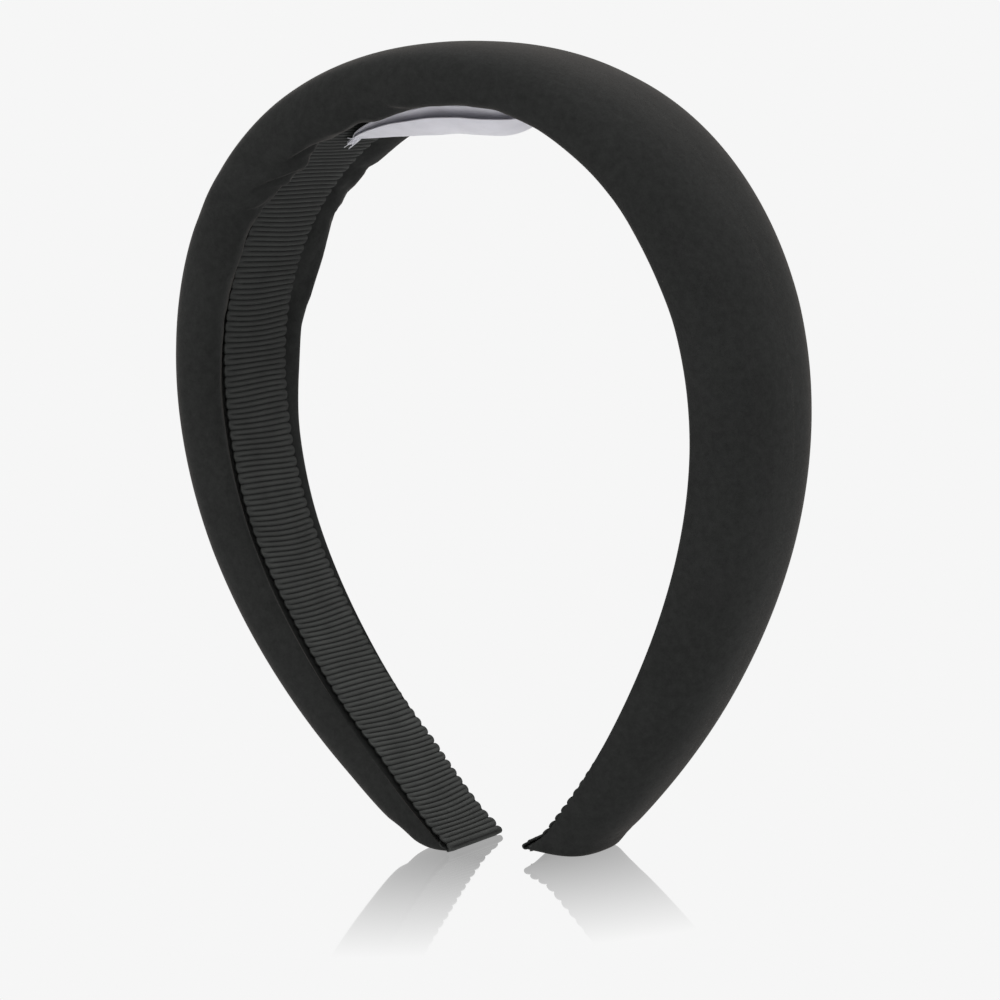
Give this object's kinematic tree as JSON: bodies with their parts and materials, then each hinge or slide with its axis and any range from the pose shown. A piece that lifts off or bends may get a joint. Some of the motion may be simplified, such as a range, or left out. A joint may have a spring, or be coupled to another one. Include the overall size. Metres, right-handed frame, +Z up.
{
  "type": "padded headband",
  "caption": "Padded U-shaped headband: a springy core under domed foam and a fabric cover, lined with ribbed ribbon, with a folded label inside the crown.",
  "frame": {"origin": "on the surface that the two tips stand on, under the middle of the band", "axes": "+X from ear to ear, +Y across the band from its front edge to its rear edge, +Z up from the tips to the crown"},
  "size_m": [0.1438, 0.042, 0.1657],
  "materials": {
    "cover_fabric": "matte black smooth woven satin with a faint brownish sheen at grazing angles",
    "ribbon_weave": "black grosgrain ribbon, ribbed across, with looped selvedges",
    "core_plastic": "black springy moulded plastic strip",
    "foam": "open-cell polyurethane foam",
    "glue": "set hot-melt adhesive and double-sided tape",
    "label_satin": "white woven satin label, plain",
    "thread": "white sewing thread with frayed ends"
  },
  "bodies": {
    "crown": {"core_crown": "core_plastic", "cover_crown": "cover_fabric", "foam_crown": "foam", "foam_tape_crown": "glue", "front_margin_glue_crown": "glue", "label_lower_layer": "label_satin", "label_tack_left": "thread", "label_tack_right": "thread", "label_upper_layer": "label_satin", "rear_margin_glue_crown": "glue", "ribbon_crown": "ribbon_weave", "ribbon_glue_crown": "glue"},
    "left_arm": {"core_left_arm": "core_plastic", "cover_left_arm": "cover_fabric", "foam_left_arm": "foam", "foam_tape_left_arm": "glue", "front_margin_glue_left_arm": "glue", "rear_margin_glue_left_arm": "glue", "ribbon_glue_left_arm": "glue", "ribbon_left_arm": "ribbon_weave"},
    "right_arm": {"core_right_arm": "core_plastic", "cover_right_arm": "cover_fabric", "foam_right_arm": "foam", "foam_tape_right_arm": "glue", "front_margin_glue_right_arm": "glue", "rear_margin_glue_right_arm": "glue", "ribbon_glue_right_arm": "glue", "ribbon_right_arm": "ribbon_weave"}
  },
  "joints": [
    {"name": "left_arm_flex", "type": "hinge", "parent": "crown", "child": "left_arm", "pos_m": [-0.05257, 0, 0.1269], "axis": [0, 1, 0], "range_deg": [-3, 25], "stiffness_Nm_per_rad": 1.4, "deforming": ["cover_left_arm", "foam_left_arm"]},
    {"name": "right_arm_flex", "type": "hinge", "parent": "crown", "child": "right_arm", "pos_m": [0.05257, 0, 0.1269], "axis": [0, -1, 0], "range_deg": [-3, 25], "stiffness_Nm_per_rad": 1.4, "deforming": ["cover_right_arm", "foam_right_arm"]}
  ]
}
